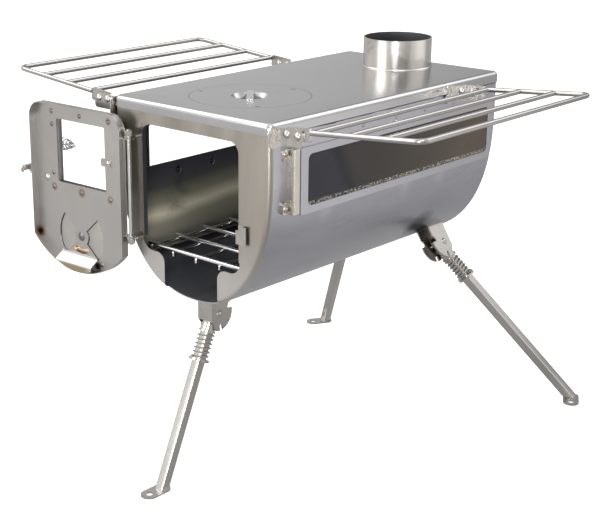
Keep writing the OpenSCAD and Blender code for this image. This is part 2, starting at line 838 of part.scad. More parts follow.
// Hinge on the front plate and on the door
module body_hinge_ears() {
    reach = front_y - hinge_y;
    color(bright) for (z = [-ear_top - ear_t, -ear_bot]) translate([hinge_x, hinge_y, z])
        linear_extrude(ear_t) difference() {
            union() {
                circle(ear_r);
                translate([-ear_r, 0]) square([ear_r + hinge_side - 0.6, reach]);
            }
            circle(rod_r);
        }
}
module door_hinge_ears() {
    color(bright) door_place() for (z = [-ear_top - ear_t - 0.4 - ear_t, -ear_bot + ear_t + 0.4])
        translate([hinge_x, hinge_y, z]) linear_extrude(ear_t) difference() {
            union() {
                circle(ear_r);
                translate([0, -1.4]) square([hinge_side, ear_r + 1.2]);
            }
            circle(rod_r + run_gap);
        }
}
module hinge_rod() {
    color(bright) translate([hinge_x, hinge_y, -ear_bot - nut_h - 1.5])
        cylinder(r = rod_r, h = ear_bot - ear_top + 2 * nut_h + 3);
}
module hinge_nuts() {
    color(bright) translate([hinge_x, hinge_y, 0]) for (z = [-ear_top, -ear_bot - nut_h])
        translate([0, 0, z]) difference() {
            cylinder(r = nut_w / 2 / cos(30), h = nut_h, $fn = 6);
            translate([0, 0, -1]) cylinder(r = rod_r, h = nut_h + 2);
        }
}

// Puts what is drawn in the closed door's place at the open door's place
module door_place() {
    translate([hinge_x, hinge_y, 0]) rotate(-door_open) translate([-hinge_x, -hinge_y, 0]) children();
}

// Outline of the door, drawn in by d
module door_shape(d = 0) {
    intersection() {
        round_rect([door_cx - door_hw + d, -body_h - 60], [door_cx + door_hw - d, -door_top - d],
                   door_r - d);
        union() {
            translate([door_cx - door_hw, -door_low + arc_r]) square([2 * door_hw, door_low - arc_r]);
            translate([door_cx, -door_low + arc_r]) circle(arc_r - d, $fn = 96);
        }
    }
}

module door_window_shape(g = 0) {
    round_rect([dwin_cx - dwin_hw - g, -dwin_low - g], [dwin_cx + dwin_hw + g, -dwin_top + g], 2);
}

// One wing of the damper: a sector between two radii about the hub
module wing(r0, r1, a) {
    intersection() {
        difference() {
            circle(r1);
            circle(r0);
        }
        polygon([[0, 0], [80 * cos(a / 2), 80 * sin(a / 2)], [80, 0],
                 [80 * cos(a / 2), -80 * sin(a / 2)]]);
    }
}

slot_half = vent_turn / 2;
module vent_slot() {
    intersection() {
        difference() {
            circle(slot_r + slot_w / 2);
            circle(slot_r - slot_w / 2);
        }
        polygon([[0, 0], [-60 * tan(slot_half), -60], [60 * tan(slot_half), -60]]);
    }
    // The round ends are a little under the slot's width, so that they aren't tangent to its sides
    for (s = [-1, 1]) rotate(s * slot_half) translate([0, -slot_r]) circle(slot_w / 2 - 0.05);
}

module door_pan() {
    color(steel) door_place() difference() {
        union() {
            solid_y(door_out, door_in) difference() {
                door_shape();
                door_window_shape();
                translate([vent_x, -vent_low]) {
                    for (k = [0, 1]) rotate(180 * k) wing(vent_in, vent_r, vent_a);
                    vent_slot();
                    circle(pin_r);
                }
                translate([latch_x, -latch_z]) circle(pin_r);
            }
            solid_y(door_out + eps, rim_y) difference() {
                door_shape();
                door_shape(door_t);
            }
        }
    }
}

// Box frame on the outside of the door that holds the glass
module door_window_frame() {
    color(bright) door_place() difference() {
        solid_y(door_out - dframe_d, door_out) difference() {
            door_window_shape(dframe_b);
            door_window_shape();
        }
        solid_y(door_out - dframe_d + dframe_t, door_out + 1)
            door_window_shape(dglass_over + 0.4);
    }
}
module door_glass() {
    y = door_out - dframe_d + dframe_t;
    color(pane) door_place() solid_y(y, y + dglass_t) door_window_shape(dglass_over);
}

dscrew_xs = [for (d = [-49.5, 0.5, 50.5]) dwin_cx + d];
dscrew_zs = [dwin_top - 8, dwin_low + 8];
module door_screws() {
    color(dark_steel) door_place() for (p = concat(
            [for (x = dscrew_xs, z = dscrew_zs) [x, z]], 
            [[dscrew_xs[2], dwin_top + 8], [dscrew_xs[2], dwin_low - 10], [-36, defl_z + 4]]))
        translate([p[0], door_in, -p[1]]) rotate(180) dome(3, 1.6);
}

clip_z = dwin_low - 37;
module glass_clip() {
    x = dwin_cx - dwin_hw;
    color(dark_steel) door_place() {
        solid_y(door_in, door_in + 1.2) round_rect([x - 10, -clip_z - 5], [x + 6, -clip_z + 5], 2.5);
        translate([x - 6, door_in + 1.2, -clip_z]) rotate(180) dome(3, 1.6);
    }
}

module air_damper() {
    color(bright) door_place() {
        solid_y(damper_y - damper_t, damper_y) translate([vent_x, -vent_low]) difference() {
            circle(vent_r + 2.5);
            rotate(90) for (k = [0, 1]) rotate(180 * k)
                wing(slot_r + slot_w / 2 + 1.5, vent_r, 180 - vent_a - 9);
            circle(pin_r + run_gap);
        }
        // Peg that runs in the door's slot, and the finger tab outside
        translate([vent_x, damper_y - eps, -vent_low]) rotate([0, -slot_half, 0]) {
            translate([0, 0, -slot_r]) rod_y(0, door_in - damper_y + 2.5, 2);
        }
        translate([vent_x, damper_y - damper_t - 9, -vent_low]) {
            translate([vent_r - 6, 0, -5]) cube([1.5, 9 + eps, 10]);
        }
    }
}
module damper_rivet() {
    color(dark_steel) door_place() translate([vent_x, 0, -vent_low]) {
        rod_y(damper_y - damper_t - 0.2, door_in, pin_r);
        translate([0, door_in, 0]) rotate(180) dome(6, 2.2);
        translate([0, damper_y - damper_t - 0.2, 0]) dome(5, 2);
    }
}

// Deflector: a sloping shelf under the vent, whose turned-down lip is cut to an arc
defl_x0 = -28;
defl_x1 = 35;
defl_z = body_h - 21;
defl_out = 12.2;
defl_fall = 7.3;
defl_arc = 75;
defl_mid = -1;
defl_low = door_low - 1.6;
module air_deflector() {
    y0 = door_in;
    y1 = y0 + defl_out;
    z1 = -defl_z - defl_fall;
    color(bright) door_place() intersection() {
        translate([defl_x0, 0, 0]) rotate([90, 0, 90]) linear_extrude(defl_x1 - defl_x0) polygon([
            [y0, -defl_z + 2.5], [y0 + 1.2, -defl_z + 2.5], [y0 + 1.2, -defl_z], [y1 - 1.2, z1 + 0.7],
            [y1 - 0.3, z1], [y1, z1 - 1.1], [y1, z1 - 12], [y1 - 1.2, z1 - 12], [y1 - 1.2, z1 - 0.9],
            [y0, -defl_z - 1.6]]);
        solid_y(y0 - 1, y1 + 1) translate([defl_mid, -defl_low + defl_arc]) circle(defl_arc);
    }
}

// The latch's hook is drawn latched and then turned back to its free position
module hook_place() {
    door_place() translate([latch_x, 0, -latch_z]) rotate([0, -latch_turn, 0])
        translate([-latch_x, 0, latch_z]) children();
}
module lever_arm(a, b, w0, w1) {
    d = b - a;
    n = [-d[1], d[0]] / norm(d);
    polygon([a + n * w0, b + n * w1, b - n * w1, a - n * w0]);
    translate(b) circle(w1);
}
pivot_xz = [latch_x, -latch_z];
grip_xz = pivot_xz + grip_up * [cos(grip_a), sin(grip_a)];
module latch_lever() {
    hook_mid = (hook_top + hook_bot) / 2;
    color(bright) difference() {
        union() {
            door_place() solid_y(lever_y, lever_y + lever_t) {
                translate(pivot_xz) circle(7);
                lever_arm(pivot_xz, grip_xz, 6, 4.5);
            }
            hook_place() {
                solid_y(lever_y, lever_y + lever_t) {
                    lever_arm(pivot_xz, [hook_x - 4, 2 - hook_mid], 6, 5);
                    translate([hook_x - 8, -hook_bot]) square([8 + hook_t, hook_bot - hook_top]);
                }
                translate([hook_x, lever_y + eps, -hook_bot])
                    cube([hook_t, front_y - 0.8 - lever_y - eps, hook_bot - hook_top]);
                translate([hook_x - 2.8, front_y - 2.2, -hook_bot])
                    cube([2.8 + eps, 1.4, hook_bot - hook_top]);
            }
        }
        door_place() translate([latch_x, lever_y - 1, -latch_z]) rotate([-90, 0, 0])
            cylinder(r = pin_r + run_gap, h = lever_t + 2);
    }
}
module latch_pivot() {
    color(dark_steel) door_place() translate([latch_x, 0, -latch_z]) {
        rod_y(lever_y - 0.3, door_in, pin_r);
        translate([0, door_in, 0]) rotate(180) dome(4.5, 2.6);
        translate([0, lever_y - 0.3, 0]) dome(5.5, 2.4);
        difference() {
            rod_y(lever_y + lever_t + 0.2, door_out, 5);
            rod_y(lever_y, door_out + 1, pin_r);
        }
    }
}

// The handle stands out from the lever's upper end and turns towards the hinge
module grip_place() {
    door_place() translate([grip_xz[0], lever_y - grip_out, grip_xz[1]]) rotate([0, -90, 0]) children();
}
module latch_handle_rod() {
    color(bright) {
        door_place() translate([grip_xz[0], 0, grip_xz[1]])
            rod_y(lever_y - grip_out, lever_y, handle_r);
        grip_place() {
            sphere(handle_r);
            cylinder(r = grip_rod, h = grip_len);
            translate([0, 0, grip_len]) sphere(handle_r);
        }
    }
}
module latch_coil_grip() {
    color(bright) grip_place() translate([0, 0, 1.5 + grip_wire / 2])
        coil(grip_r0, grip_r1, grip_len - 5, grip_turns, grip_wire);
}

// Legs: in a leg's own frame the pivot is the origin, X is its axis, +Y is the way the
// leg splays and -Z is down the bracket
module front_leg_place() { translate([0, front_leg_y, -front_pz]) rotate(180) children(); }
module rear_leg_place(s) {
    translate([s * rear_leg_x, rear_leg_y, -rear_leg_z]) rotate([0, -s * rear_lean, 0]) children();
}
module leg_place(s) {
    if (s == 0) front_leg_place() children();
    else rear_leg_place(s) children();
}
function leg_splay(s) = s == 0 ? front_splay : rear_splay;
function leg_len(s) = s == 0 ? front_len : rear_len;

// Side plate of a bracket: a cam with a notch for each locked position
module cam_shape() {
    difference() {
        union() {
            translate([-cam_back, 10.5]) square([cam_back + web_y + web_t, bracket_up - 10.5]);
            translate([-15, -2]) square([15 + web_y + web_t, 14]);
            intersection() {
                circle(cam_r);
                polygon([[-30, 3], [0, 3], [9, 0], [9, -16], [-3, -30], [-30, -30]]);
            }
            polygon([[0, 0], [web_y + web_t, 0], [web_y + web_t, -web_low], [7, -16.5], [0, -19]]);
        }
        rotate(-8.5) translate([0, -16]) {
            circle(2.1);
            translate([-2.1, -12]) square([4.2, 12]);
        }
        translate([-cam_r - 4, 3.6]) square([9.5, 4.4]);
        translate([-16, 5.8]) circle(2.2);
        circle(leg_pin_r);
    }
}
module leg_bracket(s) {
    color(bright) difference() {
        leg_place(s) {
            for (k = [-1, 1]) solid_x(k > 0 ? side_x : -side_x - side_t, k > 0 ? side_x + side_t : -side_x)
                cam_shape();
            translate([-side_x - eps, web_y, -web_low])
                cube([side_gap + 2 * eps, web_t, bracket_up + web_low]);
        }
        shell_fill();
    }
}
module leg_pivot_rivets() {
    h = side_x + side_t;
    color(bright) for (s = [-1, 0, 1]) leg_place(s) {
        rod_x(-h, h, leg_pin_r);
        translate([h, 0, 0]) rotate(90) dome(4.3, 2.2);
        translate([-h, 0, 0]) rotate(-90) dome(4.3, 2.2);
    }
}

module leg_turn(s) { leg_place(s) rotate([leg_splay(s), 0, 0]) children(); }
ring_s = collar_s1 + spring_len;
module leg_tube(s) {
    w = tube_w / 2;
    color(bright) difference() {
        leg_turn(s) {
            translate([0, 0, -leg_len(s) - 20]) difference() {
                linear_extrude(leg_len(s) + 20 + tube_up) difference() {
                    round_rect([-w, -w], [w, w], tube_r);
                    round_rect([-w + tube_t, -w + tube_t], [w - tube_t, w - tube_t],
                               tube_r - tube_t);
                }
                translate([-side_gap, 0, leg_len(s) + 20]) rotate([0, 90, 0])
                    cylinder(r = leg_pin_r + run_gap, h = 2 * side_gap);
            }
            // Ring that carries the spring
            translate([0, 0, -ring_s - ring_t]) linear_extrude(ring_t) difference() {
                circle(ring_r);
                round_rect([-w + eps, -w + eps], [w - eps, w - eps], tube_r);
            }
        }
        translate([-long, -long, floor_z - 60]) cube([2 * long, 2 * long, 60 + foot_t]);
    }
}

// Place and turn of each foot plate on the floor: the leg's end, and the way its toe points
function leg_end(s) = s == 0
    ? [0, front_leg_y - front_len * sin(front_splay)]
    : [s * (rear_leg_x + rear_len * cos(rear_splay) * sin(rear_lean)),
       rear_leg_y + rear_len * sin(rear_splay)];
function toe_turn(s) = s == 0 ? -90 : s > 0 ? -60 : -120;
peg_off = 20;
module leg_foot(s) {
    color(bright) translate([leg_end(s)[0], leg_end(s)[1], floor_z]) rotate(toe_turn(s))
        linear_extrude(foot_t) difference() {
            union() {
                circle(foot_w / 2);
                translate([0, -foot_w / 2]) square([foot_l - foot_w, foot_w]);
                translate([foot_l - foot_w, 0]) circle(foot_w / 2);
            }
            translate([peg_off, 0]) circle(peg_r);
        }
}

// Locking collar that slides on the tube and is pushed up by the spring
module leg_collar(s) {
    b = collar_bore / 2;
    color(bright) leg_turn(s) difference() {
        union() {
            translate([0, 0, -collar_s1]) linear_extrude(collar_s1 - collar_s0) intersection() {
                circle(side_x - 0.35, $fn = 64);
                square(side_gap, center = true);
            }
            translate([0, 0, -collar_s1]) cylinder(r = spring_d / 2, h = 1.5);
        }
        translate([0, 0, -collar_s1 - 1]) linear_extrude(collar_s1 - collar_s0 + 2)
            round_rect([-b, -b], [b, b], tube_r);
    }
}
module leg_spring(s) {
    r = spring_d / 2 - spring_wire / 2;
    color(bright) leg_turn(s) translate([0, 0, -ring_s + spring_wire / 2])
        coil(r, r, spring_len - spring_wire, spring_turns, spring_wire);
}

body_shell();
front_plate();
back_plate();
top_plate();
lid_seat_ring();
flue_collar();
side_frame(1);  // side_frame_right
side_frame(-1);  // side_frame_left
side_glass(1);  // side_glass_right
side_glass(-1);  // side_glass_left
side_screws();
liner(1);  // liner_right
liner(-1);  // liner_left
grate();
strike_tab();
wall_channel();
channel_rivets();
rack_brackets();
rack_rivets();
rack_wires(1);  // rack_right
rack_wires(-1);  // rack_left
rack_tabs(1);  // rack_right_tabs
rack_tabs(-1);  // rack_left_tabs
cook_lid();
lid_strap();
body_hinge_ears();
hinge_rod();
hinge_nuts();
door_pan();
door_glass();
door_window_frame();
door_screws();
glass_clip();
door_hinge_ears();
air_damper();
damper_rivet();
air_deflector();
latch_lever();
latch_pivot();
latch_handle_rod();
latch_coil_grip();
leg_pivot_rivets();
leg_bracket(0);  // front_leg_bracket
leg_tube(0);  // front_leg_tube
leg_foot(0);  // front_leg_foot
leg_collar(0);  // front_leg_collar
leg_spring(0);  // front_leg_spring
leg_bracket(1);  // right_leg_bracket
leg_tube(1);  // right_leg_tube
leg_foot(1);  // right_leg_foot
leg_collar(1);  // right_leg_collar
leg_spring(1);  // right_leg_spring
leg_bracket(-1);  // left_leg_bracket
leg_tube(-1);  // left_leg_tube
leg_foot(-1);  // left_leg_foot
leg_collar(-1);  // left_leg_collar
leg_spring(-1);  // left_leg_spring
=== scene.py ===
"""Looks for the tent wood stove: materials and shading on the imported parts, a pale floor, soft
studio light and the camera."""

import math

import bpy
from mathutils import Matrix, Vector

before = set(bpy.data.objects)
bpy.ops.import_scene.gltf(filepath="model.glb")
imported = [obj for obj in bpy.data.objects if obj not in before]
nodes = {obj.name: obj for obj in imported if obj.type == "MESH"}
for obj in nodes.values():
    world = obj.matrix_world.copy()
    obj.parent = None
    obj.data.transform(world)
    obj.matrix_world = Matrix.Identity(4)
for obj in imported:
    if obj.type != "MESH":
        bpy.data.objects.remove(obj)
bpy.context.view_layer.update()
MM = 0.001
bpy.context.scene.view_settings.view_transform = "Standard"


def metres(point):
    """A point in mm as a triple in metres."""
    return tuple(c * MM for c in point)


# ---------------------------------------------------------------- node helpers
def fill(tree, node, values, links):
    """Gives a node its input values by name, and links its inputs to output sockets."""
    for key, value in (values or {}).items():
        node.inputs[key].default_value = value
    for key, source in links.items():
        tree.links.new(source, node.inputs[key])
    return node


def add(tree, kind, values=None, **links):
    """A new node with input values, and links given as name=output socket."""
    return fill(tree, tree.nodes.new(kind), values, links)


def use(tree, group, values=None, **links):
    """A node that runs a shared group."""
    node = tree.nodes.new("ShaderNodeGroup")
    node.node_tree = group
    return fill(tree, node, values, links)


def link_pairs(tree, *pairs):
    """Links each pair of an output and an input socket."""
    for source, target in pairs:
        tree.links.new(source, target)


def math_node(tree, operation, a, b=None, clamp=False):
    """A Math node on numbers or sockets; its result."""
    node = tree.nodes.new("ShaderNodeMath")
    node.operation, node.use_clamp = operation, clamp
    for i, value in enumerate((a, b)):
        if isinstance(value, (int, float)):
            node.inputs[i].default_value = value
        elif value is not None:
            tree.links.new(value, node.inputs[i])
    return node.outputs[0]


def times(tree, a, b, clamp=False):
    return math_node(tree, "MULTIPLY", a, b, clamp)


def plus(tree, a, b, clamp=False):
    return math_node(tree, "ADD", a, b, clamp)


def minus(tree, a, b, clamp=False):
    return math_node(tree, "SUBTRACT", a, b, clamp)


def above(tree, a, b):
    """1 where a is more than b, and 0 elsewhere."""
    return math_node(tree, "GREATER_THAN", a, b)


def below(tree, a, b):
    """1 where a is less than b, and 0 elsewhere."""
    return math_node(tree, "LESS_THAN", a, b)


def vector_node(tree, operation, a, b):
    """A Vector Math node on sockets or triples; the node itself."""
    node = tree.nodes.new("ShaderNodeVectorMath")
    node.operation = operation
    for i, value in enumerate((a, b)):
        if isinstance(value, tuple):
            node.inputs[i].default_value = value
        else:
            tree.links.new(value, node.inputs[i])
    return node


def step_node(tree, value, low, high):
    """0 below low, 1 above high, and a soft step between them."""
    node = add(tree, "ShaderNodeMapRange", {"From Min": low, "From Max": high}, Value=value)
    node.interpolation_type = "SMOOTHSTEP"
    return node.outputs["Result"]


def mix_colour(tree, share, a, b):
    """Mixes colours a and b, each a socket or an RGB triple, by the socket share."""
    node = tree.nodes.new("ShaderNodeMix")
    node.data_type = "RGBA"
    tree.links.new(share, node.inputs[0])
    for socket, value in ((node.inputs[6], a), (node.inputs[7], b)):
        if isinstance(value, tuple):
            socket.default_value = (*value, 1.0)
        else:
            tree.links.new(value, socket)
    return node.outputs[2]


def object_place(tree):
    """Object coordinates: where a point lies on the stove at rest, in metres."""
    return tree.nodes.new("ShaderNodeTexCoord").outputs["Object"]


def axes(tree, vector):
    """The X, Y and Z outputs of a vector."""
    return add(tree, "ShaderNodeSeparateXYZ", Vector=vector).outputs


def true_normal(tree):
    return tree.nodes.new("ShaderNodeNewGeometry").outputs["True Normal"]


def depth_under_top(tree):
    """How far a point lies under the top plate's upper face."""
    return times(tree, axes(tree, object_place(tree))["Z"], -1.0)


def new_group(name, inputs, outputs):
    """An empty node group with named sockets: (socket type, name, default)."""
    group = bpy.data.node_groups.new(name, "ShaderNodeTree")
    for kind, label, default in inputs:
        socket = group.interface.new_socket(label, in_out="INPUT", socket_type=kind)
        if default is not None:
            socket.default_value = default
    for kind, label in outputs:
        group.interface.new_socket(label, in_out="OUTPUT", socket_type=kind)
    return group, group.nodes.new("NodeGroupInput"), group.nodes.new("NodeGroupOutput")


def new_material(name):
    """A material, its node tree and its Principled shader."""
    material = bpy.data.materials.new(name)
    material.use_nodes = True
    return material, material.node_tree, material.node_tree.nodes["Principled BSDF"]


# ---------------------------------------------------------------- studio
ROOM_BASE = 0.40    # the dim room between its lights
ROOM_LIGHTS = (     # direction, cosines where the glow starts and where it is full, strength
    ((0.0, 0.0, 1.0), 0.50, 0.92, 0.95),          # the ceiling
    ((-0.60, -0.80, 0.03), 0.30, 0.80, 0.78),     # front left, for the front plate and the door
    ((0.93, 0.36, 0.05), 0.72, 0.95, 0.85),       # right, for the long wall
    ((-0.85, 0.45, 0.25), 0.80, 0.97, 0.30),      # back left, for the top plate
    ((0.80, 0.52, -0.30), 0.88, 0.99, 0.90),      # the right wall's near end
    ((-0.65, -0.28, 0.68), 0.90, 0.985, 2.70),    # the bend along the top's front edge
    ((0.28, 0.70, 0.63), 0.90, 0.985, 2.20),      # the bend along its right edge
    ((0.70, -0.65, -0.27), 0.93, 0.99, 1.00),     # the front plate's own bend
)
FLOOR_Z, FLOOR_HALF = -450.9 * MM, 6.0            # a hair under the feet; half the floor's side
FLOOR_SHINE, FLOOR_GLOW = 0.42, 0.34              # share of the room it mirrors; its own light
SEEN_GLOW, SEEN_PAINT = 0.80, (0.55, 0.55, 0.55, 1)    # what the camera sees of it


def room_group():
    """How bright the studio is in a direction: a few broad soft lights in a dim room."""
    group, start, end = new_group("studio_room", [("NodeSocketVector", "Direction", None)],
                                  [("NodeSocketFloat", "Strength")])
    total = ROOM_BASE
    for direction, low, high, strength in ROOM_LIGHTS:
        toward = tuple(Vector(direction).normalized())
        near = vector_node(group, "DOT_PRODUCT", start.outputs["Direction"], toward)
        glow = times(group, step_node(group, near.outputs["Value"], low, high), strength)
        total = plus(group, glow, total)
    group.links.new(total, end.inputs["Strength"])
    return group


def build_camera():
    """A 36 mm camera whose place and shift come from a fit to the photograph's corners."""
    lens = bpy.data.cameras.new("camera")
    lens.lens = 79.86
    lens.sensor_width = 36.0
    lens.shift_x, lens.shift_y = 0.103, -0.0213
    lens.clip_start, lens.clip_end = 0.05, 60.0
    camera = bpy.data.objects.new("camera", lens)
    place = metres((1036.71, -1246.85, 297.74))
    right = Vector((0.73053, 0.68288, -0.00169))
    up = Vector((-0.20218, 0.21865, 0.95463))
    ahead = Vector((-0.65226, 0.69705, -0.29779))
    turn = Matrix((right, up, -ahead)).transposed().to_4x4()
    camera.matrix_world = Matrix.Translation(place) @ turn
    bpy.context.scene.collection.objects.link(camera)
    bpy.context.scene.camera = camera


def soft_box(name, place, aim, width, height, watts, colour=(1, 1, 1)):
    """A rectangular studio lamp at place that faces aim."""
    lamp = bpy.data.lights.new(name, "AREA")
    lamp.shape, lamp.size, lamp.size_y = "RECTANGLE", width, height
    lamp.energy, lamp.color = watts, colour
    stand = bpy.data.objects.new(name, lamp)
    stand.location = place
    stand.rotation_mode = "QUATERNION"
    stand.rotation_quaternion = (Vector(aim) - Vector(place)).to_track_quat("-Z", "Y")
    stand.visible_camera = False
    bpy.context.scene.collection.objects.link(stand)


def seen_or_lit(tree, seen, lit, surface):
    """Links a surface that is one shader to the camera and another to the light."""
    path = tree.nodes.new("ShaderNodeLightPath")
    mix = tree.nodes.new("ShaderNodeMixShader")
    link_pairs(tree, (path.outputs["Is Camera Ray"], mix.inputs[0]), (lit.outputs[0], mix.inputs[1]),
               (seen.outputs[0], mix.inputs[2]), (mix.outputs[0], surface))


def build_world(room):
    """A white room where the camera sees it, and the studio's soft glows for everything else."""
    world = bpy.data.worlds.new("studio")
    bpy.context.scene.world = world
    world.use_nodes = True
    tree = world.node_tree
    tree.nodes.clear()
    place = tree.nodes.new("ShaderNodeTexCoord")
    shine = use(tree, room, Direction=place.outputs["Generated"])
    lit = add(tree, "ShaderNodeBackground", {"Color": (1.0, 0.99, 0.985, 1)},
              Strength=shine.outputs["Strength"])
    seen = add(tree, "ShaderNodeBackground", {"Color": (1, 1, 1, 1)})
    out = tree.nodes.new("ShaderNodeOutputWorld")
    seen_or_lit(tree, seen, lit, out.inputs["Surface"])


def build_floor(room):
    """A white floor where the camera sees it. What the metal mirrors of it is the room's shine."""
    x, z = FLOOR_HALF, FLOOR_Z
    mesh = bpy.data.meshes.new("floor")
    mesh.from_pydata([(-x, -x, z), (x, -x, z), (x, x, z), (-x, x, z)], [], [(0, 1, 2, 3)])
    floor = bpy.data.objects.new("floor", mesh)
    bpy.context.scene.collection.objects.link(floor)
    paint = bpy.data.materials.new("floor_white")
    paint.use_nodes = True
    tree = paint.node_tree
    tree.nodes.clear()
    away = vector_node(tree, "NORMALIZE", object_place(tree), (0, 0, 0))
    shine = use(tree, room, Direction=away.outputs["Vector"])
    strength = plus(tree, times(tree, shine.outputs["Strength"], FLOOR_SHINE), FLOOR_GLOW)
    pool = add(tree, "ShaderNodeEmission", {"Color": (1.0, 0.985, 0.97, 1)}, Strength=strength)
    white = add(tree, "ShaderNodeEmission", {"Color": (1, 1, 1, 1), "Strength": SEEN_GLOW})
    matt = add(tree, "ShaderNodeBsdfDiffuse", {"Color": SEEN_PAINT})
    bright = tree.nodes.new("ShaderNodeAddShader")
    link_pairs(tree, (white.outputs[0], bright.inputs[0]), (matt.outputs[0], bright.inputs[1]))
    out = tree.nodes.new("ShaderNodeOutputMaterial")
    seen_or_lit(tree, bright, pool, out.inputs["Surface"])
    mesh.materials.append(paint)


def build_studio():
    """The room, its three lamps and the floor."""
    room = room_group()
    build_world(room)
    soft_box("key", (1.7, -1.3, 1.7), (0, 0, -0.1), 1.2, 1.2, 20)
    soft_box("fill", (-0.7, -2.2, 0.6), (0, 0, -0.15), 1.2, 1.0, 14, (1.0, 0.98, 0.95))
    soft_box("into the mouth", (0.95, -1.55, -0.02), (-0.08, -0.05, -0.16), 0.5, 0.4, 12,
             (0.98, 0.99, 1.0))
    build_floor(room)


# ---------------------------------------------------------------- shared shader effects
def grain_group():
    """Brushed grain: noise on coordinates that the material has stretched along the brushing.
    Height drives a bump, and Tone runs from about -1 to 1 for colour and roughness."""
    group, start, end = new_group(
        "brushed_grain", [("NodeSocketVector", "Vector", None), ("NodeSocketFloat", "Fineness", 1.0)],
        [("NodeSocketFloat", "Height"), ("NodeSocketFloat", "Tone")])
    fine = add(group, "ShaderNodeTexNoise", {"Detail": 5.0, "Roughness": 0.65},
               Vector=start.outputs["Vector"], Scale=start.outputs["Fineness"])
    tone = times(group, minus(group, fine.outputs["Fac"], 0.5), 3.0)
    link_pairs(group, (fine.outputs["Fac"], end.inputs["Height"]), (tone, end.inputs["Tone"]))
    return group


def cloud_group():
    """Handling marks: broad soft patches, with a few smaller smears where two noises meet."""
    group, start, end = new_group(
        "handling_marks", [("NodeSocketVector", "Vector", None), ("NodeSocketFloat", "Size", 9.0)],
        [("NodeSocketFloat", "Patches"), ("NodeSocketFloat", "Smears")])
    vector, size = start.outputs["Vector"], start.outputs["Size"]
    broad = add(group, "ShaderNodeTexNoise", {"Detail": 3.0, "Roughness": 0.5, "Distortion": 0.4},
                Vector=vector, Scale=size)
    small = add(group, "ShaderNodeTexNoise", {"Detail": 4.0, "Roughness": 0.6, "Distortion": 1.1},
                Vector=vector, Scale=times(group, size, 4.2))
    patches = times(group, minus(group, broad.outputs["Fac"], 0.5), 2.4)
    meet = times(group, broad.outputs["Fac"], small.outputs["Fac"])
    smears = times(group, minus(group, meet, 0.30), 9.0, clamp=True)
    link_pairs(group, (patches, end.inputs["Patches"]), (smears, end.inputs["Smears"]))
    return group


def spot_group():
    """A soft round spot: 1 at Centre and 0 at Radius, its edge roughened by noise."""
    group, start, end = new_group(
        "soft_spot", [("NodeSocketVector", "Vector", None), ("NodeSocketVector", "Centre", (0, 0, 0)),
                      ("NodeSocketFloat", "Radius", 0.01)], [("NodeSocketFloat", "Mask")])
    gap = vector_node(group, "DISTANCE", start.outputs["Vector"], start.outputs["Centre"])
    rough = add(group, "ShaderNodeTexNoise", {"Scale": 320.0, "Detail": 2.0},
                Vector=start.outputs["Vector"])
    wander = plus(group, times(group, rough.outputs["Fac"], 0.7), 0.65)
    share = math_node(group, "DIVIDE", times(group, gap.outputs["Value"], wander),
                      start.outputs["Radius"])
    group.links.new(minus(group, 1.0, share, clamp=True), end.inputs["Mask"])
    return group


GRAIN, CLOUDS, SPOT = grain_group(), cloud_group(), spot_group()
SPOTS = {           # the spot's colour, how strongly it covers, and the colour of a burnt core
    "heat": ((0.24, 0.12, 0.035), 1.5, (0.03, 0.025, 0.05)),
    "pale": ((0.75, 0.75, 0.78), 0.22, None),
    "dark": ((0.10, 0.10, 0.13), 1.5, None),
    "black": ((0.012, 0.012, 0.014), 1.5, None),
}
CORE_SIZE, CORE_STRENGTH = 0.5, 1.7
SOOT, SOOT_ROUGH = (0.19, 0.195, 0.22), 0.5
GRAIN_DEPTH = 0.2 * MM


def add_spots(tree, colour, spots):
    """Lays spots over a colour: (centre in mm, radius in mm, kind)."""
    place = object_place(tree)
    for centre, radius, kind in spots:
        halo_colour, strength, core_colour = SPOTS[kind]
        halo = use(tree, SPOT, {"Centre": metres(centre), "Radius": radius * MM}, Vector=place)
        cover = times(tree, halo.outputs["Mask"], strength, clamp=True)
        colour = mix_colour(tree, cover, colour, halo_colour)
        if core_colour:
            core = use(tree, SPOT, {"Centre": metres(centre), "Radius": radius * CORE_SIZE * MM},
                       Vector=place)
            burn = times(tree, core.outputs["Mask"], CORE_STRENGTH, clamp=True)
            colour = mix_colour(tree, burn, colour, core_colour)
    return colour


def inner_side(tree, centre):
    """1 on faces that look towards centre, in mm, which lies inside a hollow body, and 0 outside."""
    from_centre = vector_node(tree, "SUBTRACT", object_place(tree), metres(centre))
    outward = vector_node(tree, "DOT_PRODUCT", from_centre.outputs["Vector"], true_normal(tree))
    return below(tree, outward.outputs["Value"], 0.0)


